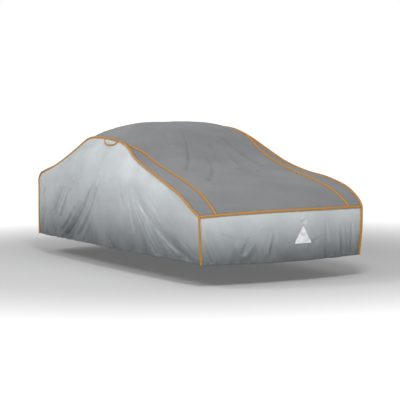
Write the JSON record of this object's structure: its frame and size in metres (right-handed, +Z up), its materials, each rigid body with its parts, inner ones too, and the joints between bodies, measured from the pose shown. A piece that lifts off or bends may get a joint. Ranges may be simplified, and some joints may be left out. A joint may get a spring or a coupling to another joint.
{
  "type": "car cover",
  "caption": "Fitted half-height cover for a small coupe, hollow and open at the bottom, with a grey top, silver skirts, orange piping and warning triangles.",
  "frame": {"origin": "under the highest part of the roof cloth, on the centreline, where the cover is held up", "axes": "+Z up, -Y towards the front, +X towards the left-hand side of the covered vehicle"},
  "size_m": [1.8136, 4.0821, 1.1971],
  "materials": {
    "grey_cloth": "matte woven polyester, thicker top cloth",
    "silver_cloth": "satin silver-coated polyester",
    "orange_piping": "woven tape sewn round a cord",
    "reflective_film": "glossy reflective film"
  },
  "bodies": {
    "root": {"top_panel_bonnet": "grey_cloth", "top_panel_windscreen": "grey_cloth", "top_panel_roof": "grey_cloth", "top_panel_boot": "grey_cloth", "bonnet_strip_right": "grey_cloth", "bonnet_strip_left": "grey_cloth", "side_panel_right_front": "silver_cloth", "side_panel_right_middle": "silver_cloth", "side_panel_right_rear": "silver_cloth", "side_panel_left_front": "silver_cloth", "side_panel_left_middle": "silver_cloth", "side_panel_left_rear": "silver_cloth", "front_panel": "silver_cloth", "rear_panel": "silver_cloth", "vent_flap_right": "silver_cloth", "vent_flap_left": "silver_cloth", "side_piping_right": "orange_piping", "side_piping_left": "orange_piping", "bonnet_piping_right": "orange_piping", "bonnet_piping_left": "orange_piping", "front_piping": "orange_piping", "rear_piping": "orange_piping", "vent_piping_right": "orange_piping", "vent_piping_left": "orange_piping", "reflector_front": "reflective_film", "reflector_rear": "reflective_film"}
  },
  "joints": []
}
